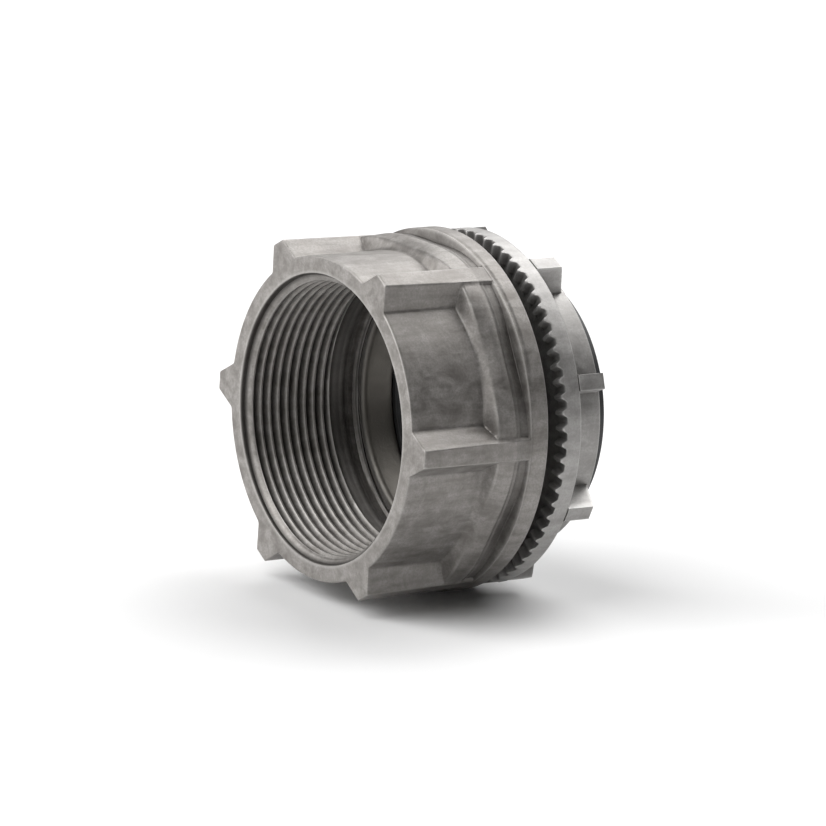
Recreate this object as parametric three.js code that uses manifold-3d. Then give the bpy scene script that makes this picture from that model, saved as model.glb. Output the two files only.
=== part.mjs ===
// A watertight threaded conduit hub, 3 inch trade size: a ribbed cast body with a tapered female
// thread in its mouth, a rubber ring in its rear flange, and a toothed lock nipple that screws into
// the back of the body and carries an insulating throat liner.
//
// Everything is drawn with the hub's axis along local z and s = 0 at the mouth. The group then turns
// the axis onto +Y, with the mouth facing -Y, and puts the origin in the middle of the length.
// Millimetres, +Z up.

import * as THREE from 'three';
import { mergeVertices } from 'three/addons/utils/BufferGeometryUtils.js';
import Module from 'manifold-3d';

// ---- driving dimensions ---------------------------------------------------------------------------

const ROUND = 36; // sides of every turned surface, and steps in one turn of a thread
const TOTAL_LENGTH = 78.2;
const GAP = 0.3; // clearance between pieces that seat in each other

// hub body, s measured from the mouth
const HUB_LENGTH = 45.9;
const MOUTH_RADIUS = 44.8;
const MOUTH_CHAMFER = 1.2;
const BARREL_RADIUS = 50.1;
const PAD_RADIUS = 54;
const PAD_START = 26;
const PAD_FULL = 30;
const SWELL_START = 26.6; // the pad swells towards the ribs, as a wave round the body
const SWELL_END = 35.4;
const SWELL_RADIUS = 54.6;
const SWELL_WAVE = 1.5;
const STEP_RADIUS = 55;
const STEP_START = 35.2;
const RIM_RADIUS = 56.2;
const RIM_START = 39.9;
const RIB_COUNT = 6;
const RIB_TIP_RADIUS = 57.2;
const RIB_TIP_WIDTH = 5.4;
const RIB_BASE_WIDTH = 13.4;
const RIB_FALL = 1; // height that a rib's tip loses between the mouth and the rim

// tapered conduit thread, cut as a ridge standing on the bore
const THREAD_PITCH = 3.175; // eight to the inch
const PIPE_TAPER = 1 / 32; // radius lost for each millimetre of depth
const PIPE_ROOT_RADIUS = 44.4;
const PIPE_DEPTH = 1.9;
const PIPE_THREAD_START = 3;
const PIPE_THREAD_TURNS = 9;
const PIPE_BORE_END = 33;
const PIPE_START_TURN = 17 / 36; // of a turn, where the ridge begins at the mouth
const RELIEF_RADIUS = 43.4;

// straight thread between the body and the lock nipple
const SCREW_BORE_START = 38.4;
const FEMALE_ROOT_RADIUS = 44.5;
const FEMALE_CREST_RADIUS = 42.6;
const FEMALE_THREAD_START = 40.6;
const FEMALE_THREAD_TURNS = 4 / 3;
const MALE_ROOT_RADIUS = 42;
const MALE_CREST_RADIUS = 43.9;
const MALE_START_TURN = 1 / 3; // of a turn past the female ridge's beginning
const MALE_THREAD_TURNS = 2.75;

// thread ridges
const RIDGE_BURIED = 0.4; // depth of a ridge's root inside the wall it stands on
const RIDGE_CREST_WIDTH = 0.6;
const PIPE_RIDGE_WIDTH = 2.5;
const SCREW_RIDGE_WIDTH = 1.7;

// sealing ring and its groove in the flange
const RING_INNER_RADIUS = 47.4;
const RING_OUTER_RADIUS = 52.4;
const RING_FRONT = 42.6;
const RING_REAR = 48.8;
const RING_EDGE = 1.1;

// lock nipple
const NIPPLE_FRONT = 42;
const NIPPLE_REAR = 73.5;
const NIPPLE_BORE_RADIUS = 39.3;
const NIPPLE_LEAD_IN = 1.8;
const LINER_SEAT_RADIUS = 40.1;
const LINER_SEAT_START = 53;
const WHEEL_RADIUS = 55.05;
const WHEEL_FRONT = 53.7;
const WHEEL_REAR = 59.1;
const WHEEL_EDGE = 0.7;
const TOOTH_COUNT = 70;
const TOOTH_TIP = 51.85;
const TOOTH_INNER_RADIUS = 50.6;
const TOOTH_BASE_WIDTH = 4.1;
const TOOTH_TIP_WIDTH = 1.2;
const COLLAR_RADIUS = 44.5;
const COLLAR_EDGE = 0.6;
const LUG_COUNT = 8;
const LUG_OUTER_RADIUS = 54.8;
const LUG_REAR = 68.5;
const LUG_ROOT_REAR = 72.1;
const LUG_WIDTH = 5.1;
const LUG_TURN = 19.4; // degrees of the first lug, past the first rib

// throat liner
const LINER_BORE_RADIUS = 37.7;
const LINER_FLARE = 1.2;
const LINER_EDGE = 0.4;

// ---- solids ---------------------------------------------------------------------------------------

const wasm = await Module();
wasm.setup();

function solid(geometry) {
  const bare = geometry.clone();
  bare.deleteAttribute('normal');
  bare.deleteAttribute('uv');
  const merged = mergeVertices(bare, 1e-4);
  const mesh = new wasm.Mesh({
    numProp: 3,
    vertProperties: new Float32Array(merged.attributes.position.array),
    triVerts: new Uint32Array(merged.index.array),
  });
  return new wasm.Manifold(mesh);
}

function geometryOf(body) {
  const mesh = body.getMesh();
  const geometry = new THREE.BufferGeometry();
  geometry.setAttribute('position', new THREE.BufferAttribute(mesh.vertProperties, 3));
  geometry.setIndex(new THREE.BufferAttribute(mesh.triVerts, 1));
  geometry.computeVertexNormals();
  return geometry;
}

const radians = (degrees) => (degrees * Math.PI) / 180;

// A ring turned about the axis, from [radius, s] points that run counter-clockwise in that plane.
function turned(outline) {
  const points = [...outline, outline[0]].map(([radius, s]) => new THREE.Vector2(radius, s));
  const geometry = new THREE.LatheGeometry(points, ROUND);
  geometry.rotateX(Math.PI / 2); // the lathe's y axis becomes z, and its angle stays on x
  return solid(geometry);
}

// A prism whose outline lies across the axis, from s = start to s = end.
function prism(outline, start, end) {
  const shape = new THREE.Shape(outline.map(([x, y]) => new THREE.Vector2(x, y)));
  const geometry = new THREE.ExtrudeGeometry(shape, { depth: end - start, bevelEnabled: false });
  geometry.translate(0, 0, start);
  return geometry;
}

// A closed outline round the axis, whose radius depends on the angle.
function outlineRound(radiusAt) {
  const angles = Array.from({ length: ROUND }, (_, i) => (i * 2 * Math.PI) / ROUND);
  return angles.map((angle) => [radiusAt(angle) * Math.cos(angle), radiusAt(angle) * Math.sin(angle)]);
}

// The line that a thread ridge follows: right-handed, with s growing as the angle grows.
class Helix extends THREE.Curve {
  constructor({ start, turns, startTurn, radius, taper }) {
    super();
    Object.assign(this, { start, turns, startTurn, radius, taper });
  }

  angle(t) {
    return (this.startTurn + t * this.turns) * 2 * Math.PI;
  }

  getPoint(t, target = new THREE.Vector3()) {
    const s = this.start + t * this.turns * THREAD_PITCH;
    const radius = this.radius - s * this.taper;
    return target.set(radius * Math.cos(this.angle(t)), radius * Math.sin(this.angle(t)), s);
  }

  getPointAt(t, target) {
    return this.getPoint(t, target);
  }

  // Frames that keep the section upright: its x points away from the axis and its y along it.
  computeFrenetFrames(segments) {
    const frames = { tangents: [], normals: [], binormals: [] };
    for (let i = 0; i <= segments; i += 1) {
      const angle = this.angle(i / segments);
      frames.normals.push(new THREE.Vector3(Math.cos(angle), Math.sin(angle), 0));
      frames.tangents.push(new THREE.Vector3(-Math.sin(angle), Math.cos(angle), 0));
      frames.binormals.push(new THREE.Vector3(0, 0, -1));
    }
    return frames;
  }
}

// A thread ridge with sloping flanks, from its buried root to its crest, both radii.
function ridge({ start, turns, startTurn, root, crest, taper, rootWidth, crestWidth }) {
  const helix = new Helix({ start, turns, startTurn, radius: root, taper });
  const outline = [
    [0, -rootWidth / 2],
    [0, rootWidth / 2],
    [crest - root, crestWidth / 2],
    [crest - root, -crestWidth / 2],
  ];
  const section = new THREE.Shape(outline.map(([x, y]) => new THREE.Vector2(x, y)));
  const steps = Math.round(turns * ROUND);
  return solid(new THREE.ExtrudeGeometry(section, { steps, extrudePath: helix, bevelEnabled: false }));
}

// ---- pieces ---------------------------------------------------------------------------------------

function hubBody() {
  const boreEndRadius = PIPE_ROOT_RADIUS - PIPE_BORE_END * PIPE_TAPER;
  let body = turned([
    [MOUTH_RADIUS, 0],
    [BARREL_RADIUS, 0],
    [BARREL_RADIUS, PAD_START],
    [PAD_RADIUS, PAD_FULL],
    [PAD_RADIUS, STEP_START],
    [STEP_RADIUS, STEP_START],
    [STEP_RADIUS, RIM_START],
    [RIM_RADIUS, RIM_START],
    [RIM_RADIUS, HUB_LENGTH],
    [FEMALE_ROOT_RADIUS, HUB_LENGTH],
    [FEMALE_ROOT_RADIUS, SCREW_BORE_START],
    [RELIEF_RADIUS, SCREW_BORE_START],
    [RELIEF_RADIUS, PIPE_BORE_END],
    [boreEndRadius, PIPE_BORE_END],
    [PIPE_ROOT_RADIUS - MOUTH_CHAMFER * PIPE_TAPER, MOUTH_CHAMFER],
  ]);

  const swellOutline = outlineRound((angle) => SWELL_RADIUS + SWELL_WAVE * Math.cos(RIB_COUNT * angle));
  const holeOutline = outlineRound(() => BARREL_RADIUS - 1);
  const swell = solid(prism(swellOutline, SWELL_START, SWELL_END));
  const hole = solid(prism(holeOutline, SWELL_START - 1, SWELL_END + 1));
  body = body.add(swell.subtract(hole));

  const ribRoot = BARREL_RADIUS - 2;
  const ribOutline = [
    [ribRoot, -RIB_BASE_WIDTH / 2],
    [RIB_TIP_RADIUS, -RIB_TIP_WIDTH / 2],
    [RIB_TIP_RADIUS, RIB_TIP_WIDTH / 2],
    [ribRoot, RIB_BASE_WIDTH / 2],
  ];
  for (let i = 0; i < RIB_COUNT; i += 1) {
    const rib = prism(ribOutline, 0, RIM_START);
    rib.applyMatrix4(new THREE.Matrix4().makeShear(0, 0, 0, 0, -RIB_FALL / RIM_START, 0));
    rib.rotateZ((i * 2 * Math.PI) / RIB_COUNT);
    body = body.add(solid(rib));
  }
  const ringGroove = turned([
    [RING_INNER_RADIUS - GAP, RING_FRONT - GAP],
    [RING_OUTER_RADIUS + GAP, RING_FRONT - GAP],
    [RING_OUTER_RADIUS + GAP, HUB_LENGTH + 1],
    [RING_INNER_RADIUS - GAP, HUB_LENGTH + 1],
  ]);
  body = body.subtract(ringGroove);

  const pipeThread = ridge({
    start: PIPE_THREAD_START,
    turns: PIPE_THREAD_TURNS,
    startTurn: PIPE_START_TURN,
    root: PIPE_ROOT_RADIUS + RIDGE_BURIED,
    crest: PIPE_ROOT_RADIUS - PIPE_DEPTH,
    taper: PIPE_TAPER,
    rootWidth: PIPE_RIDGE_WIDTH,
    crestWidth: RIDGE_CREST_WIDTH,
  });
  const screwThread = ridge({
    start: FEMALE_THREAD_START,
    turns: FEMALE_THREAD_TURNS,
    startTurn: 0,
    root: FEMALE_ROOT_RADIUS + RIDGE_BURIED,
    crest: FEMALE_CREST_RADIUS,
    taper: 0,
    rootWidth: SCREW_RIDGE_WIDTH,
    crestWidth: RIDGE_CREST_WIDTH,
  });
  return body.add(pipeThread).add(screwThread);
}

function sealingRing() {
  return turned([
    [RING_INNER_RADIUS, RING_FRONT],
    [RING_OUTER_RADIUS, RING_FRONT],
    [RING_OUTER_RADIUS, RING_REAR - RING_EDGE],
    [RING_OUTER_RADIUS - RING_EDGE, RING_REAR],
    [RING_INNER_RADIUS + RING_EDGE, RING_REAR],
    [RING_INNER_RADIUS, RING_REAR - RING_EDGE],
  ]);
}

function lockNipple() {
  let nipple = turned([
    [NIPPLE_BORE_RADIUS, NIPPLE_FRONT + NIPPLE_LEAD_IN],
    [NIPPLE_BORE_RADIUS + NIPPLE_LEAD_IN, NIPPLE_FRONT],
    [MALE_ROOT_RADIUS, NIPPLE_FRONT],
    [MALE_ROOT_RADIUS, WHEEL_FRONT],
    [WHEEL_RADIUS, WHEEL_FRONT],
    [WHEEL_RADIUS, WHEEL_REAR - WHEEL_EDGE],
    [WHEEL_RADIUS - WHEEL_EDGE, WHEEL_REAR],
    [COLLAR_RADIUS, WHEEL_REAR],
    [COLLAR_RADIUS, NIPPLE_REAR - COLLAR_EDGE],
    [COLLAR_RADIUS - COLLAR_EDGE, NIPPLE_REAR],
    [LINER_SEAT_RADIUS, NIPPLE_REAR],
    [LINER_SEAT_RADIUS, LINER_SEAT_START],
    [NIPPLE_BORE_RADIUS, LINER_SEAT_START],
  ]);

  // teeth that point at the hub, standing on the wheel's front face
  const toothBase = WHEEL_FRONT + 0.5;
  const toothOuter = WHEEL_RADIUS * Math.cos(Math.PI / ROUND) - 0.1;
  const toothOutline = [
    [-TOOTH_BASE_WIDTH / 2, 0],
    [TOOTH_BASE_WIDTH / 2, 0],
    [TOOTH_TIP_WIDTH / 2, toothBase - TOOTH_TIP],
    [-TOOTH_TIP_WIDTH / 2, toothBase - TOOTH_TIP],
  ];
  for (let i = 0; i < TOOTH_COUNT; i += 1) {
    const tooth = prism(toothOutline, 0, toothOuter - TOOTH_INNER_RADIUS);
    tooth.rotateX(-Math.PI / 2); // the outline's height now points along -z, its depth along +y
    tooth.translate(0, TOOTH_INNER_RADIUS, toothBase);
    tooth.rotateZ(-Math.PI / 2 - (i * 2 * Math.PI) / TOOTH_COUNT);
    nipple = nipple.add(solid(tooth));
  }

  // lugs behind the wheel, struck with a hammer and drift to tighten the nipple
  const lugRoot = COLLAR_RADIUS - 1.5;
  const lugOutline = [
    [lugRoot, WHEEL_REAR - 1],
    [LUG_OUTER_RADIUS, WHEEL_REAR - 1],
    [LUG_OUTER_RADIUS, LUG_REAR],
    [lugRoot, LUG_ROOT_REAR],
  ];
  for (let i = 0; i < LUG_COUNT; i += 1) {
    const lug = prism(lugOutline, -LUG_WIDTH / 2, LUG_WIDTH / 2);
    lug.rotateX(Math.PI / 2); // the outline's second direction becomes the axis
    lug.rotateZ(radians(-LUG_TURN) - (i * 2 * Math.PI) / LUG_COUNT);
    nipple = nipple.add(solid(lug));
  }

  const screwThread = ridge({
    start: FEMALE_THREAD_START + (MALE_START_TURN + 0.5) * THREAD_PITCH, // half a pitch behind the body's
    turns: MALE_THREAD_TURNS,
    startTurn: MALE_START_TURN,
    root: MALE_ROOT_RADIUS - RIDGE_BURIED,
    crest: MALE_CREST_RADIUS,
    taper: 0,
    rootWidth: SCREW_RIDGE_WIDTH,
    crestWidth: RIDGE_CREST_WIDTH,
  });
  return nipple.add(screwThread);
}

function throatLiner() {
  const outer = LINER_SEAT_RADIUS - GAP;
  return turned([
    [LINER_BORE_RADIUS, LINER_SEAT_START + GAP],
    [outer, LINER_SEAT_START + GAP],
    [outer, TOTAL_LENGTH - LINER_EDGE],
    [outer - LINER_EDGE, TOTAL_LENGTH],
    [LINER_BORE_RADIUS + LINER_FLARE, TOTAL_LENGTH],
    [LINER_BORE_RADIUS, TOTAL_LENGTH - LINER_FLARE],
  ]);
}

// ---- the assembly ---------------------------------------------------------------------------------

const castZinc = new THREE.MeshStandardMaterial({ color: 0x918c83, roughness: 0.62, metalness: 0.75 });
const wheelZinc = new THREE.MeshStandardMaterial({ color: 0xb9b5b0, roughness: 0.5, metalness: 0.8 });
const blackRubber = new THREE.MeshStandardMaterial({ color: 0x191717, roughness: 0.8, metalness: 0 });
const darkNylon = new THREE.MeshStandardMaterial({ color: 0x2c2c2e, roughness: 0.5, metalness: 0 });

const pieces = [
  ['hub_body', hubBody(), castZinc],
  ['sealing_ring', sealingRing(), blackRubber],
  ['lock_nipple', lockNipple(), wheelZinc],
  ['throat_liner', throatLiner(), darkNylon],
];

const axisAlongY = new THREE.Group();
axisAlongY.rotation.x = -Math.PI / 2;
axisAlongY.position.y = -TOTAL_LENGTH / 2;
for (const [name, body, material] of pieces) {
  const mesh = new THREE.Mesh(geometryOf(body), material);
  mesh.name = name;
  axisAlongY.add(mesh);
}

const group = new THREE.Group();
group.add(axisAlongY);

export default group;
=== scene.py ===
"""A watertight threaded conduit hub: fine surfaces and materials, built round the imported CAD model.

The pieces are drawn in millimetres on (angle, row) grids: a column is an angle about the hub's axis,
measured from +X towards +Z, and a row is a point of the section at that angle, given as its radius and
its depth s behind the mouth. SCALE takes them to metres and the mouth to the CAD's front face.
"""

import math

import bmesh
import bpy
import numpy as np
from mathutils import Matrix, Vector


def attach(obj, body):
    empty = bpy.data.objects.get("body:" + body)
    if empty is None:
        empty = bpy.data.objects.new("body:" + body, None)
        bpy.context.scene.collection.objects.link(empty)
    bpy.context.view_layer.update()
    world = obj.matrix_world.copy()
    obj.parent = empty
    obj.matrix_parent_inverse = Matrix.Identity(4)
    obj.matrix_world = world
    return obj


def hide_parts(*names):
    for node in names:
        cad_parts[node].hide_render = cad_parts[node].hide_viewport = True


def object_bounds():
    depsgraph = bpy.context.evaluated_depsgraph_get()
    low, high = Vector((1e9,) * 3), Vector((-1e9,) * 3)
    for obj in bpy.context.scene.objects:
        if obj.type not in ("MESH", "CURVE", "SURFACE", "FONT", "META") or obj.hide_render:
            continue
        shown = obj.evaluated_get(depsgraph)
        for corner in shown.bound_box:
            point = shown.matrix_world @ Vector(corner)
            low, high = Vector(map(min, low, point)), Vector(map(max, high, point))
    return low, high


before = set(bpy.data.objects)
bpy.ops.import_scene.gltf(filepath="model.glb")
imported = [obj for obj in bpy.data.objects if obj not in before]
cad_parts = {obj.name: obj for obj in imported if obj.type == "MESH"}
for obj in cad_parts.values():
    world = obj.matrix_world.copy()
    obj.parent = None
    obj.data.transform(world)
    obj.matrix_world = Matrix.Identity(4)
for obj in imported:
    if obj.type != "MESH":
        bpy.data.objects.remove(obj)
cad_low, cad_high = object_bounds()

SCALE = 0.001
FRONT_Y = cad_low.y
TURN = 2 * math.pi

# ---- sizes, mm, those of the CAD model --------------------------------------------------------------

HUB_LENGTH = 45.9
MOUTH_RADIUS = 44.8
BARREL_RADIUS = 50.1
PAD_START = 25.8
PAD_RADIUS = 54.0  # midway between two ribs
PAD_RAMP = 0.5  # rise per mm of the gentle ramp there
SWELL_RADIUS = 56.0  # of the pad beside the ribs
HOLLOW_START = 32.5  # of the hollow between the pad and the rim
HOLLOW_DEPTH = 1.3
CHANNEL_DEPTH = 0.8  # beside the ribs
PAD_GROOVE_DEPTH = 0.3
RIM_RADIUS = 56.2
RIM_FRONT = 38.7
RIM_START = 39.9  # where the ribs end
RIBS = 6
RIB_TIP_RADIUS = 57.15
RIB_FALL = 1.0  # height that a rib's tip loses between the mouth and the rim
RIB_TIP_WIDTH = 5.4
RIB_FLANK_SLOPE = 0.56

PITCH = 3.175
TAPER = 1 / 32
PIPE_ROOT = 44.6
PIPE_DEPTH = 2.15
PIPE_CREST_AT = 4.6  # s of a pipe thread crest at angle 0
PIPE_FIRST, PIPE_LAST = 0.5, 32.1
RELIEF_RADIUS = 43.4
FEMALE_ROOT = 44.5
FEMALE_CREST = 42.7
FEMALE_CREST_AT = 40.6
FEMALE_FIRST, FEMALE_LAST = 38.8, 45.6
MALE_ROOT = 42.1
MALE_CREST = 43.8
MALE_LAST = 52.6

GROOVE_INNER = 47.1
GROOVE_OUTER = 52.7
GROOVE_FLOOR = 42.3

NIPPLE_FRONT = 42.0
NIPPLE_REAR = 73.5
NIPPLE_BORE = 39.3
NIPPLE_LEAD_IN = 1.8
LINER_SEAT = 40.1
LINER_SEAT_START = 53.0
WHEEL_RADIUS = 55.0
WHEEL_FACE = 53.7
WHEEL_REAR = 59.1
TEETH = 70
TOOTH_HEIGHT = 1.83
TOOTH_INNER = 50.6
COLLAR_RADIUS = 44.5
LUGS = 8
LUG_TURN = 19.4  # degrees of the first lug
LUG_TOP = 54.8
LUG_REAR = 68.5
LUG_ROOT_REAR = 72.1
LUG_WIDTH = 5.1

LINER_BORE = 37.7
LINER_OUTER = 39.8
LINER_START = 53.3
TOTAL_LENGTH = 78.2


# ---- grids ------------------------------------------------------------------------------------------

def soft_min(a, b, k):
    """The lower of a and b, with the corner between them rounded over about k."""
    h = np.clip(0.5 + 0.5 * (b - a) / k, 0, 1)
    return b + (a - b) * h - k * h * (1 - h)


def soft_max(a, b, k):
    return -soft_min(-a, -b, k)


def smooth(x, start, end):
    """0 before start, 1 after end, and an even S between them."""
    t = np.clip((x - start) / (end - start), 0, 1)
    return t * t * (3 - 2 * t)


def columns(count, first, offsets):
    """Angles from 0 to a full turn, closer together at offsets (degrees) round each of count centres."""
    centres = first + 360 / count * np.arange(count)
    degrees = (centres[:, None] + np.asarray(offsets)[None, :]).ravel() % 360
    return np.unique(np.round(degrees, 4))


def angles_from(*groups):
    degrees = np.unique(np.concatenate([np.array([0.0, 360.0]), *groups]))
    keep = np.concatenate([[True], np.diff(degrees) > 0.04])
    keep[-1] = True
    return np.radians(degrees[keep])


def ring_rows(angles, points):
    """Plain turned rows from (radius, s) points."""
    return [(np.full_like(angles, r), np.full_like(angles, s)) for r, s in points]


def arc(centre, radius, start, end, steps=4):
    """Points of a rounded edge, from (radius, s) centre; degrees go from outward (0) to rearward (90)."""
    turns = np.radians(np.linspace(start, end, steps + 1))
    return [(centre[0] + radius * math.cos(t), centre[1] + radius * math.sin(t)) for t in turns]


THREAD_PHASES = [0, 0.07, 0.105, 0.25, 0.395, 0.43, 0.5, 0.57, 0.605, 0.75, 0.895, 0.93]
HIDDEN_PHASES = [0, 0.09, 0.25, 0.41, 0.5, 0.59, 0.75, 0.91]


def thread_rows(angles, low, high, crest_at, radius_of, phases=THREAD_PHASES):
    """Rows that follow a right-handed thread from s = low to high. radius_of(phase, s) is the surface,
    with phase 0 on a crest and 0.5 in a root."""
    first = math.floor((low - crest_at) / PITCH) - 1
    last = math.ceil((high - crest_at) / PITCH) + 2
    rows = []
    for turn in range(first, last):
        for phase in phases:
            s = crest_at + (turn + phase) * PITCH - PITCH * angles / TURN
            s = np.clip(s, low, high)
            exact = (s - crest_at) / PITCH + angles / TURN
            rows.append((radius_of(exact - np.round(exact), s), s))
    return rows


def thread_height(phase, flat=0.1, root=0.42):
    """1 on the crest, 0 in the root, with straight flanks and slightly rounded corners."""
    flank = (root - np.abs(phase)) / (root - flat)
    return soft_max(soft_min(flank, 1.0, 0.12), 0.0, 0.12)


def grid_piece(name, angles, rows, body, node, sharp=35):
    """A closed piece from rows that run once round its section. It rides the CAD body and stands for
    the CAD node. Edges turning by more than sharp degrees are left hard."""
    radius = np.array([r for r, _ in rows])
    along = np.array([s for _, s in rows])
    x = radius * np.cos(angles) * SCALE
    y = along * SCALE + FRONT_Y
    z = radius * np.sin(angles) * SCALE
    count, width = radius.shape
    vertices = np.stack([x, y, z], axis=-1).reshape(-1, 3)
    here = np.arange(count * width).reshape(count, width)
    below = np.roll(here, -1, axis=0)
    quads = np.stack([here[:, :-1], here[:, 1:], below[:, 1:], below[:, :-1]], axis=-1).reshape(-1, 4)
    mesh = bpy.data.meshes.new(name)
    mesh.from_pydata(vertices.tolist(), [], quads.tolist())
    work = bmesh.new()
    work.from_mesh(mesh)
    bmesh.ops.remove_doubles(work, verts=work.verts, dist=2e-6)
    bmesh.ops.dissolve_degenerate(work, edges=work.edges, dist=1e-6)
    bmesh.ops.recalc_face_normals(work, faces=work.faces)
    if work.calc_volume(signed=True) < 0:
        bmesh.ops.reverse_faces(work, faces=work.faces)
    work.to_mesh(mesh)
    work.free()
    mesh.shade_smooth()
    mesh.set_sharp_from_angle(angle=math.radians(sharp))
    piece = bpy.data.objects.new(name, mesh)
    bpy.context.scene.collection.objects.link(piece)
    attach(piece, body)
    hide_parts(node)
    return piece


# ---- hub body ---------------------------------------------------------------------------------------

def from_nearest(angles, count, first=0.0):
    """The angle from each column to the nearest of count evenly spaced centres."""
    step = TURN / count
    return np.abs((angles - first + step / 2) % step - step / 2)


def barrel_radius(angles, s):
    """The body's outside between the ribs: a plain barrel, then a pad, a shallow hollow and the rim.
    The pad rises steeply to the ribs' height beside them, and gently midway between them."""
    between = (1 - np.cos(RIBS * angles)) / 2
    ramp = BARREL_RADIUS + 1.1 + PAD_RAMP * np.maximum(s - 27.5, 0)
    gentle = soft_min(PAD_RADIUS, ramp, 0.8)
    pad = SWELL_RADIUS + (gentle - SWELL_RADIUS) * between
    front = smooth(s, PAD_START + 0.5 * between, PAD_START + 2.4 + between)
    wall = BARREL_RADIUS + (pad - BARREL_RADIUS) * front
    wall = wall - HOLLOW_DEPTH * between ** 2 * np.clip((s - HOLLOW_START) / 6, 0, 1)
    groove = PAD_GROOVE_DEPTH * smooth(s, 34.0, 34.7) * (1 - smooth(s, 34.8, 35.6))
    wall = wall - groove - CHANNEL_DEPTH * (1 - between) * smooth(s, 35.0, 36.6)
    wall = wall + (RIM_RADIUS - wall) * smooth(s, RIM_FRONT, RIM_FRONT + 0.75)
    line = 0.25 * smooth(s, 39.7, 40.2) * (1 - smooth(s, 40.5, 41.2))
    return wall - line


def rib_radius(angles, s):
    """The flat-topped ribs, as the radius at which a ray at each angle leaves the nearest one."""
    away = from_nearest(angles, RIBS)
    tip = RIB_TIP_RADIUS - RIB_FALL * s / RIM_START
    flat = tip / np.cos(away)
    reach = RIB_TIP_WIDTH / 2 + RIB_FLANK_SLOPE * RIB_TIP_RADIUS
    flank = reach / (np.sin(away) + RIB_FLANK_SLOPE * np.cos(away))
    return soft_min(flat, flank, 0.4)


def hub_radius(angles, s):
    """Barrel and ribs together. The ribs end at the rim."""
    barrel = barrel_radius(angles, s)
    ribbed = soft_max(barrel, rib_radius(angles, s), 0.7 - 0.4 * smooth(s, 26, 29))
    return ribbed + (barrel - ribbed) * smooth(s, RIM_START - 0.25, RIM_START + 0.35)


def pipe_radius(phase, s):
    """The tapered thread, with its entry chamfer and its fading last turn."""
    fade = smooth(s, 0.8, 2.4) * (1 - smooth(s, 30.8, 32.0))
    bore = PIPE_ROOT - s * TAPER - PIPE_DEPTH * fade * thread_height(phase)
    chamfer = MOUTH_RADIUS - 0.9 * (s - 0.2)
    return np.maximum(bore, chamfer)


def female_radius(phase, s):
    """The straight thread behind the pipe thread, which the nipple screws into."""
    fade = smooth(s, 41.2, 42.4) * (1 - smooth(s, 44.6, 45.6))
    return FEMALE_ROOT - (FEMALE_ROOT - FEMALE_CREST) * fade * thread_height(phase)


def make_hub():
    rib = [0, 0.9, 1.8, 2.25, 2.5, 2.75, 3.0, 3.35, 4.0, 4.8, 5.6, 6.2, 6.6, 7.0, 7.4, 7.9, 8.6, 9.6]
    between = np.arange(11, 30.5, 1.5)
    offsets = np.concatenate([rib, between, -np.array(rib), -between])
    angles = angles_from(columns(RIBS, 0, offsets))

    edge = 0.45
    rows = ring_rows(angles, [(MOUTH_RADIUS + 0.15, 0.0), (MOUTH_RADIUS + 1.2, 0.0)])
    outer = hub_radius(angles, 0.0)
    for share in (0.35, 0.7, 0.95):
        rows.append((MOUTH_RADIUS + 1.2 + (outer - edge - MOUTH_RADIUS - 1.2) * share, 0 * angles))
    for turn in np.radians([0, 30, 60, 90]):
        inset = edge * (1 - math.sin(turn))
        rows.append((outer - inset, 0 * angles + edge * (1 - math.cos(turn))))
    stations = np.concatenate([
        [1.2, 3, 6, 10, 14, 18, 22, 24.5, 25.2],
        np.arange(25.7, 28.0, 0.25),
        np.arange(28.0, 30.7, 0.5),
        [31.4, 32.6, 33.4, 33.9, 34.2, 34.5, 34.75, 35.0, 35.3, 35.6, 36.0, 36.4, 37.2, 38.1],
        [38.6, 38.8, 38.95, 39.1, 39.25, 39.45, 39.65, 39.8, 39.95, 40.1, 40.25, 40.5, 40.8, 41.2, 41.6],
        [43.0, 44.6, 45.1],
    ])
    for s in stations:
        rows.append((hub_radius(angles, s), np.full_like(angles, s)))
    rows += ring_rows(angles, arc((RIM_RADIUS - 0.5, HUB_LENGTH - 0.5), 0.5, 0, 90))
    rows += ring_rows(angles, [
        (GROOVE_OUTER + 0.2, HUB_LENGTH), (GROOVE_OUTER, HUB_LENGTH - 0.2),
        (GROOVE_OUTER, GROOVE_FLOOR + 0.3), (GROOVE_OUTER - 0.3, GROOVE_FLOOR),
        (GROOVE_INNER + 0.3, GROOVE_FLOOR), (GROOVE_INNER, GROOVE_FLOOR + 0.3),
        (GROOVE_INNER, HUB_LENGTH - 0.2), (GROOVE_INNER - 0.2, HUB_LENGTH),
        (FEMALE_ROOT + 0.4, HUB_LENGTH),
    ])
    rows += thread_rows(
        angles, FEMALE_FIRST, FEMALE_LAST, FEMALE_CREST_AT, female_radius, HIDDEN_PHASES)[::-1]
    rows += ring_rows(angles, [
        (FEMALE_ROOT, 38.6), (FEMALE_ROOT - 0.2, 38.2), (RELIEF_RADIUS + 0.45, 36.8),
        (RELIEF_RADIUS + 0.2, 35.4), (RELIEF_RADIUS, 34.2), (RELIEF_RADIUS, 33.2), (RELIEF_RADIUS, 32.4),
    ])
    rows += thread_rows(angles, PIPE_FIRST, PIPE_LAST, PIPE_CREST_AT, pipe_radius)[::-1]
    return grid_piece("hub_casting", angles, rows, "hub", "hub_body")


# ---- sealing ring -----------------------------------------------------------------------------------

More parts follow.
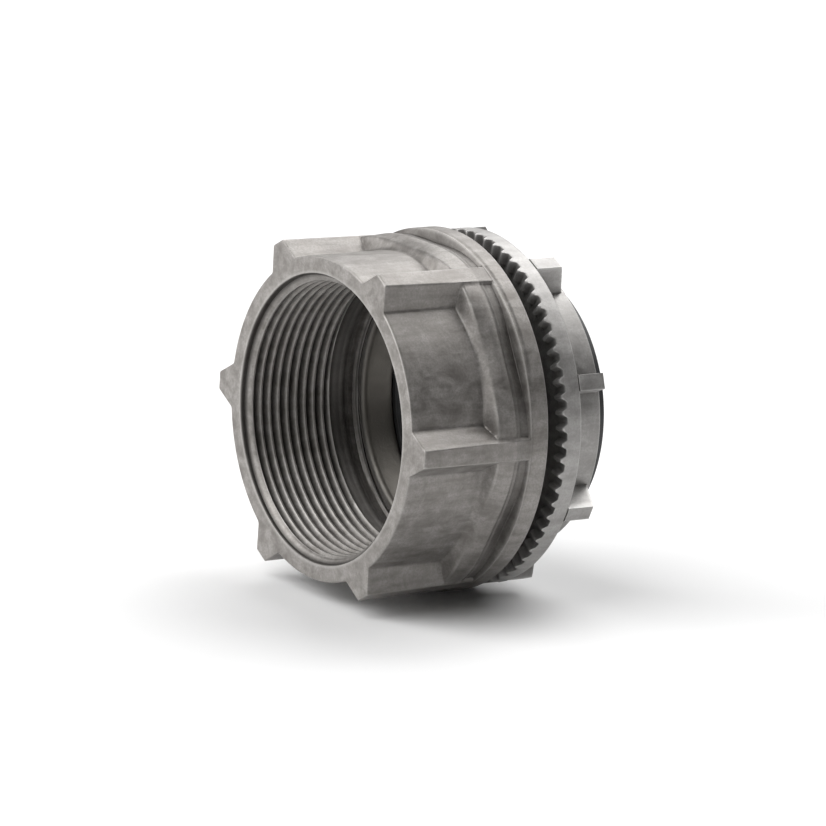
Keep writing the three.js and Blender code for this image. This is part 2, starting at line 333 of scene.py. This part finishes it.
def make_ring():
    """A moulded ring with rounded edges."""
    angles = np.radians(np.linspace(0, 360, 241))
    inner, outer, front, rear = 47.4, 52.4, 42.6, 48.8
    soft = 1.6
    points = [(inner + 0.5, front), (outer - 0.5, front), (outer, front + 0.5)]
    points += [(outer, 44.6), (outer, 46.6)]
    points += arc((outer - soft, rear - soft), soft, 0, 90, 8)
    points += arc((inner + soft, rear - soft), soft, 90, 180, 8)
    points += [(inner, 46.6), (inner, 44.6), (inner, front + 0.5)]
    rows = ring_rows(angles, points)
    return grid_piece("rubber_ring", angles, rows, "hub", "sealing_ring")


# ---- lock nipple ------------------------------------------------------------------------------------

def male_radius(phase, s):
    """The nipple's straight thread. Its crests run midway between those of the body's thread."""
    fade = smooth(s, NIPPLE_FRONT + 0.4, NIPPLE_FRONT + 1.6) * (1 - smooth(s, 51.2, 52.4))
    return MALE_ROOT + (MALE_CREST - MALE_ROOT) * fade * thread_height(phase)


def tooth_top(angles):
    """s of the wheel's front edge: narrow teeth towards the hub, with round-cornered notches between."""
    away = from_nearest(angles, TEETH) * TEETH / TURN
    return WHEEL_FACE - TOOTH_HEIGHT * (1 - smooth(away, 0.05, 0.33))


def collar_radius(angles, s):
    """The collar behind the wheel, with its eight wrench lugs."""
    away = from_nearest(angles, LUGS, math.radians(LUG_TURN))
    slope = np.clip((s - LUG_REAR) / (LUG_ROOT_REAR - LUG_REAR), 0, 1)
    top = LUG_TOP - (LUG_TOP - COLLAR_RADIUS + 0.4) * slope
    side = LUG_WIDTH / 2 / np.maximum(np.sin(away), 1e-6)
    lug = np.where(away < 0.3, soft_min(top / np.cos(away), side, 0.5), 0)
    collar = COLLAR_RADIUS - 0.4 * smooth(s, NIPPLE_REAR - 0.5, NIPPLE_REAR)
    return soft_max(collar, lug, 0.5)


def make_nipple():
    tooth = 360 / TEETH * np.array([0, 0.08, 0.16, 0.25, 0.35, 0.5, -0.08, -0.16, -0.25, -0.35])
    lug = [0, 1.3, 2.2, 2.55, 2.7, 2.8, 2.9, 3.0, 3.12, 3.24, 3.36, 3.5, 3.75, 4.2]
    lug_offsets = np.concatenate([lug, -np.array(lug)])
    angles = angles_from(columns(TEETH, 0, tooth), columns(LUGS, LUG_TURN, lug_offsets))

    lead_in = (NIPPLE_BORE + NIPPLE_LEAD_IN, NIPPLE_FRONT + NIPPLE_LEAD_IN)
    rows = ring_rows(angles, arc(lead_in, NIPPLE_LEAD_IN, 180, 270, 8))
    rows += ring_rows(angles, [(MALE_ROOT - 0.3, NIPPLE_FRONT)])
    male_crest_at = FEMALE_CREST_AT + PITCH / 2
    male_first = NIPPLE_FRONT + 0.4
    rows += thread_rows(angles, male_first, MALE_LAST, male_crest_at, male_radius, HIDDEN_PHASES)
    rows += ring_rows(angles, [
        (MALE_ROOT, 53.2), (MALE_ROOT + 0.15, 53.55), (MALE_ROOT + 0.5, WHEEL_FACE),
        (46, WHEEL_FACE), (TOOTH_INNER - 0.25, WHEEL_FACE),
    ])
    top = tooth_top(angles)
    for radius, share in [(TOOTH_INNER, 0.12), (TOOTH_INNER + 0.25, 0.86), (TOOTH_INNER + 0.55, 1)]:
        rows.append((np.full_like(angles, radius), WHEEL_FACE + (top - WHEEL_FACE) * share))
    for radius in (52.3, 53.6, WHEEL_RADIUS - 0.3):
        rows.append((np.full_like(angles, radius), top))
    rows.append((np.full_like(angles, WHEEL_RADIUS - 0.09), top + 0.09))
    rows.append((np.full_like(angles, WHEEL_RADIUS), top + 0.3))
    for share in (0.3, 0.65):
        rows.append((np.full_like(angles, WHEEL_RADIUS), top + 0.3 + (55.2 - top - 0.3) * share))
    rows += ring_rows(angles, [(WHEEL_RADIUS, 55.2), (WHEEL_RADIUS, 57), (WHEEL_RADIUS, WHEEL_REAR - 0.7)])
    rows += ring_rows(angles, arc((WHEEL_RADIUS - 0.7, WHEEL_REAR - 0.7), 0.7, 22, 90, 3))
    root = collar_radius(angles, WHEEL_REAR + 1)
    shoulder = WHEEL_RADIUS - 0.7
    for share in (0.35, 0.7, 0.93):
        rows.append((shoulder + (root + 0.3 - shoulder) * share, WHEEL_REAR + 0 * angles))
    rows.append((root + 0.3, WHEEL_REAR + 0.05 + 0 * angles))
    rows.append((root + 0.08, WHEEL_REAR + 0.35 + 0 * angles))
    lug_end = LUG_REAR + np.array([-2.5, -0.4, -0.1, 0.15, 0.5, 1.1, 1.8, 2.5, 3.1, 3.5, 3.9])
    for s in [60.1, 62.5, *lug_end, 72.9, 73.1, 73.35, 73.5]:
        rows.append((collar_radius(angles, s), np.full_like(angles, s)))
    rows += ring_rows(angles, [
        (COLLAR_RADIUS - 0.9, NIPPLE_REAR), (42.4, NIPPLE_REAR), (LINER_SEAT + 0.3, NIPPLE_REAR),
        (LINER_SEAT, NIPPLE_REAR - 0.3), (LINER_SEAT, 64), (LINER_SEAT, LINER_SEAT_START),
        (NIPPLE_BORE + 0.3, LINER_SEAT_START), (NIPPLE_BORE, LINER_SEAT_START - 0.3),
        (NIPPLE_BORE, 50), (NIPPLE_BORE, 46),
    ])
    return grid_piece("lock_nipple_casting", angles, rows, "nipple", "lock_nipple")


# ---- throat liner -----------------------------------------------------------------------------------

def make_liner():
    """An insulating sleeve that stands out of the collar, with rounded ends."""
    angles = np.radians(np.linspace(0, 360, 241))
    edge, mouth = 0.35, 1.2
    points = arc((LINER_BORE + 0.5, LINER_START + 0.5), 0.5, 180, 270)
    points += [(LINER_OUTER - 0.2, LINER_START), (LINER_OUTER, LINER_START + 0.2)]
    points += [(LINER_OUTER, 60), (LINER_OUTER, 67), (LINER_OUTER, 73)]
    points += arc((LINER_OUTER - edge, TOTAL_LENGTH - edge), edge, 0, 90)
    points += arc((LINER_BORE + mouth, TOTAL_LENGTH - mouth), mouth, 90, 180, 8)
    points += [(LINER_BORE, 70), (LINER_BORE, 61)]
    rows = ring_rows(angles, points)
    return grid_piece("nylon_liner", angles, rows, "liner", "throat_liner")


# ---- materials --------------------------------------------------------------------------------------

class Nodes:
    """A material's node tree, with one short call for each kind of node it uses."""

    def __init__(self, name):
        self.material = bpy.data.materials.new(name)
        self.material.use_nodes = True
        self.tree = self.material.node_tree
        self.surface = self.tree.nodes["Principled BSDF"]
        self.place = self.tree.nodes.new("ShaderNodeTexCoord").outputs["Object"]

    def link(self, source, target):
        self.tree.links.new(source, target)

    def noise(self, scale, detail=4.0, rough=0.55, stretch=None, distortion=0.0):
        node = self.tree.nodes.new("ShaderNodeTexNoise")
        node.inputs["Scale"].default_value = scale
        node.inputs["Detail"].default_value = detail
        node.inputs["Roughness"].default_value = rough
        node.inputs["Distortion"].default_value = distortion
        place = self.place
        if stretch:
            mapping = self.tree.nodes.new("ShaderNodeMapping")
            mapping.inputs["Scale"].default_value = stretch
            self.link(self.place, mapping.inputs["Vector"])
            place = mapping.outputs["Vector"]
        self.link(place, node.inputs["Vector"])
        return node.outputs["Fac"]

    def ramp(self, value, *stops):
        node = self.tree.nodes.new("ShaderNodeValToRGB")
        elements = node.color_ramp.elements
        while len(elements) < len(stops):
            elements.new(0.5)
        for element, (position, colour) in zip(elements, stops):
            element.position = position
            element.color = (*colour, 1) if hasattr(colour, "__len__") else (colour, colour, colour, 1)
        self.link(value, node.inputs["Fac"])
        return node.outputs["Color"]

    def mix(self, share, first, second, kind="MIX"):
        node = self.tree.nodes.new("ShaderNodeMix")
        node.data_type = "RGBA"
        node.blend_type = kind
        sockets = [s for s in node.inputs if s.type == "RGBA"]
        factor = node.inputs["Factor"]
        for value, target in ((share, factor), (first, sockets[0]), (second, sockets[1])):
            if isinstance(value, bpy.types.NodeSocket):
                self.link(value, target)
            elif hasattr(value, "__len__"):
                target.default_value = (*value, 1)
            else:
                target.default_value = value
        return [s for s in node.outputs if s.type == "RGBA"][0]

    def weaker(self, share, mask):
        """The mask times share."""
        return self.mix(share, (0, 0, 0), mask)

    def axis_distance(self):
        """Metres from the hub's axis."""
        flat = self.tree.nodes.new("ShaderNodeVectorMath")
        flat.operation = "MULTIPLY"
        flat.inputs[1].default_value = (1, 0, 1)
        self.link(self.place, flat.inputs[0])
        length = self.tree.nodes.new("ShaderNodeVectorMath")
        length.operation = "LENGTH"
        self.link(flat.outputs["Vector"], length.inputs[0])
        return length.outputs["Value"]

    def between(self, start, end):
        """1 from s = start to s = end, mm, fading over half a millimetre at each side."""
        apart = self.tree.nodes.new("ShaderNodeSeparateXYZ")
        self.link(self.place, apart.inputs["Vector"])
        share = self.tree.nodes.new("ShaderNodeMapRange")
        self.link(apart.outputs["Y"], share.inputs["Value"])
        share.inputs["From Min"].default_value = FRONT_Y
        share.inputs["From Max"].default_value = FRONT_Y + TOTAL_LENGTH * SCALE
        stops = [(start - 0.5, 0.0), (start, 1.0), (end, 1.0), (end + 0.5, 0.0)]
        return self.ramp(share.outputs["Result"], *[(s / TOTAL_LENGTH, value) for s, value in stops])

    def thread_height(self):
        """0 on the crests of the tapered pipe thread and 1 at the edge of the mouth, past its roots."""
        apart = self.tree.nodes.new("ShaderNodeSeparateXYZ")
        self.link(self.place, apart.inputs["Vector"])
        root = self.tree.nodes.new("ShaderNodeMath")
        root.operation = "MULTIPLY_ADD"
        self.link(apart.outputs["Y"], root.inputs[0])
        root.inputs[1].default_value = TAPER
        self.link(self.axis_distance(), root.inputs[2])
        share = self.tree.nodes.new("ShaderNodeMapRange")
        crest = (PIPE_ROOT - PIPE_DEPTH) * SCALE + FRONT_Y * TAPER
        self.link(root.outputs["Value"], share.inputs["Value"])
        share.inputs["From Min"].default_value = crest
        mouth_height = MOUTH_RADIUS + 0.05 - PIPE_ROOT + PIPE_DEPTH
        share.inputs["From Max"].default_value = crest + mouth_height * SCALE
        return share.outputs["Result"]

    def bump(self, height, distance, strength=1.0, under=None):
        node = self.tree.nodes.new("ShaderNodeBump")
        node.inputs["Distance"].default_value = distance
        node.inputs["Strength"].default_value = strength
        self.link(height, node.inputs["Height"])
        if under:
            self.link(under, node.inputs["Normal"])
        return node.outputs["Normal"]

    def pointiness(self):
        return self.tree.nodes.new("ShaderNodeNewGeometry").outputs["Pointiness"]


def cast_metal(name, dark, light, edge, rough, metallic, mottle=1.0, inner_shade=None, recess_shade=None):
    """Die-cast zinc: blotchy oxide tones, faint flow streaks, worn edges, painted shade in concave corners
    and a fine pitted skin. The inside colour is painted shade on what lies nearer to the axis than the
    wall of the nipple, and the recess colour is painted shade in the roots of the pipe thread and in the
    hollow behind the pad."""
    m = Nodes(name)
    blotch = m.noise(190, 6, 0.62, distortion=0.6)
    streak = m.noise(260, 5, 0.6, stretch=(1, 0.22, 1), distortion=0.3)
    grain = m.noise(1500, 4, 0.6)
    tone = m.mix(0.45, m.ramp(blotch, (0.36, 0.0), (0.64, 1.0)), m.ramp(streak, (0.38, 0.0), (0.62, 1.0)))
    middle = tuple((a + b) / 2 for a, b in zip(dark, light))
    low = tuple(c + (d - c) * mottle for c, d in zip(middle, dark))
    high = tuple(c + (d - c) * mottle for c, d in zip(middle, light))
    colour = m.mix(tone, low, high)
    colour = m.mix(m.ramp(grain, (0.44, 0.0), (0.6, 0.35)), colour, dark)
    worn = m.ramp(m.pointiness(), (0.515, 0.0), (0.56, 1.0))
    colour = m.mix(m.weaker(0.55, worn), colour, edge)
    # Painted shade: concave corners are darkened to a deep tone of the dark colour, standing in for the
    # shade that gathers there.
    corner = m.ramp(m.pointiness(), (0.43, 0.6), (0.485, 0.0))
    colour = m.mix(corner, colour, tuple(0.4 * c for c in dark))
    # Painted shade: the hollow behind the pad and the roots of the pipe thread are darkened with this
    # colour, where shade falls.
    if recess_shade:
        low_wall = m.ramp(m.axis_distance(), (0.0543, 1.0), (0.0556, 0.0))
        hollow = m.weaker(low_wall, m.between(34.6, 39.3))
        colour = m.mix(m.weaker(0.6, hollow), colour, recess_shade)
        height = m.thread_height()
        root_shade = m.ramp(height, (0.0, 0.0), (0.45, 0.0), (0.8, 1.0), (0.94, 1.0), (1.0, 0.0))
        colour = m.mix(m.weaker(0.8, root_shade), colour, recess_shade)
    # Painted shade: what lies nearer the axis than the nipple's wall is darkened with this colour.
    if inner_shade:
        colour = m.mix(m.ramp(m.axis_distance(), (0.0405, 1.0), (0.0435, 0.0)), colour, inner_shade)
    m.link(colour, m.surface.inputs["Base Color"])
    m.surface.inputs["Metallic"].default_value = metallic
    m.link(m.ramp(blotch, (0.3, rough - 0.07), (0.7, rough + 0.09)), m.surface.inputs["Roughness"])
    skin = m.bump(grain, 0.00006, 0.5)
    skin = m.bump(blotch, 0.00035, 0.35, under=skin)
    m.link(skin, m.surface.inputs["Normal"])
    return m.material


def rubber(name):
    m = Nodes(name)
    dust = m.noise(420, 5, 0.65)
    colour = m.mix(m.ramp(dust, (0.45, 0.0), (0.75, 1.0)), (0.009, 0.008, 0.008), (0.022, 0.02, 0.019))
    m.link(colour, m.surface.inputs["Base Color"])
    m.link(m.ramp(dust, (0.3, 0.55), (0.7, 0.78)), m.surface.inputs["Roughness"])
    m.link(m.bump(m.noise(2600, 3, 0.6), 0.00004, 0.5), m.surface.inputs["Normal"])
    return m.material


def nylon(name):
    m = Nodes(name)
    cloud = m.noise(120, 4, 0.6)
    colour = m.mix(m.ramp(cloud, (0.35, 0.0), (0.65, 1.0)), (0.018, 0.018, 0.019), (0.03, 0.03, 0.032))
    m.link(colour, m.surface.inputs["Base Color"])
    m.link(m.ramp(cloud, (0.3, 0.36), (0.7, 0.5)), m.surface.inputs["Roughness"])
    m.link(m.bump(m.noise(1900, 3, 0.5), 0.00002, 0.35), m.surface.inputs["Normal"])
    return m.material


# ---- build ------------------------------------------------------------------------------------------

hub = make_hub()
ring = make_ring()
nipple = make_nipple()
liner = make_liner()

# The hub's recess colour (0.07, 0.065, 0.06) is painted shade for its thread roots and the hollow behind
# its pad.
hub.data.materials.append(cast_metal(
    "cast_zinc", (0.165, 0.153, 0.142), (0.35, 0.335, 0.32), (0.50, 0.485, 0.465), 0.5, 0.8,
    recess_shade=(0.07, 0.065, 0.06)))
# The nipple's inside colour (0.13, 0.12, 0.105) is painted shade on its bore and front face.
nipple.data.materials.append(cast_metal(
    "wheel_zinc", (0.25, 0.242, 0.234), (0.43, 0.42, 0.41), (0.56, 0.55, 0.54), 0.45, 0.75, 0.9,
    inner_shade=(0.13, 0.12, 0.105)))
ring.data.materials.append(rubber("black_rubber"))
liner.data.materials.append(nylon("dark_nylon"))


# ---- floor, light and camera ------------------------------------------------------------------------

def make_floor():
    mesh = bpy.data.meshes.new("floor")
    half = 6.0
    level = cad_low.z
    corners = [(-half, -half, level), (half, -half, level), (half, half, level), (-half, half, level)]
    mesh.from_pydata(corners, [], [(0, 1, 2, 3)])
    floor = bpy.data.objects.new("floor", mesh)
    bpy.context.scene.collection.objects.link(floor)
    paper = bpy.data.materials.new("paper_floor")
    paper.use_nodes = True
    surface = paper.node_tree.nodes["Principled BSDF"]
    surface.inputs["Base Color"].default_value = (0.8, 0.8, 0.8, 1)
    surface.inputs["Roughness"].default_value = 0.9
    mesh.materials.append(paper)


def softbox(name, toward, strength):
    """A broad soft light so far away that it falls evenly; toward is the way to it from the hub."""
    light = bpy.data.lights.new(name, "SUN")
    light.angle = math.radians(50)
    light.energy = strength
    lamp = bpy.data.objects.new(name, light)
    lamp.rotation_mode = "QUATERNION"
    lamp.rotation_quaternion = (-Vector(toward)).to_track_quat("-Z", "Y")
    bpy.context.scene.collection.objects.link(lamp)


def make_world(strength):
    """Even light from all round. The camera itself sees it as plain white."""
    world = bpy.data.worlds.new("studio")
    world.use_nodes = True
    tree = world.node_tree
    background = tree.nodes["Background"]
    background.inputs["Color"].default_value = (1, 1, 1, 1)
    share = tree.nodes.new("ShaderNodeMapRange")
    ray = tree.nodes.new("ShaderNodeLightPath")
    tree.links.new(ray.outputs["Is Camera Ray"], share.inputs["Value"])
    share.inputs["To Min"].default_value = strength
    share.inputs["To Max"].default_value = 1.0
    tree.links.new(share.outputs["Result"], background.inputs["Strength"])
    bpy.context.scene.world = world


def make_camera(azimuth, elevation, roll, distance, lens, aim):
    """Azimuth 0 looks along +Y; aim is the point that the middle of the picture falls on."""
    a, e = math.radians(azimuth), math.radians(elevation)
    back = Vector((math.sin(a) * math.cos(e), -math.cos(a) * math.cos(e), math.sin(e)))
    data = bpy.data.cameras.new("camera")
    data.lens = lens
    data.sensor_width = 36
    data.clip_start, data.clip_end = 0.05, 50
    camera = bpy.data.objects.new("camera", data)
    camera.location = Vector(aim) + back * distance
    level = (-back).to_track_quat("-Z", "Y").to_matrix().to_4x4()
    turned = level @ Matrix.Rotation(math.radians(roll), 4, "Z")
    camera.rotation_mode = "QUATERNION"
    camera.rotation_quaternion = turned.to_quaternion()
    bpy.context.scene.collection.objects.link(camera)
    bpy.context.scene.camera = camera


make_floor()
make_world(0.08)
softbox("back_left_high", (-0.5, 0.5, 0.7), 1.7)
softbox("back_high", (0, 0.65, 0.76), 1.3)
softbox("front_high", (0, -0.6, 0.8), 1.9)
softbox("front_left_low", (-0.5, -0.8, 0.34), 2.15)
make_camera(55.311, 12.746, 3.427, 2.5657, 363.35, (-0.0020, -0.0034, -0.0012))

bpy.context.scene.view_settings.view_transform = "Standard"
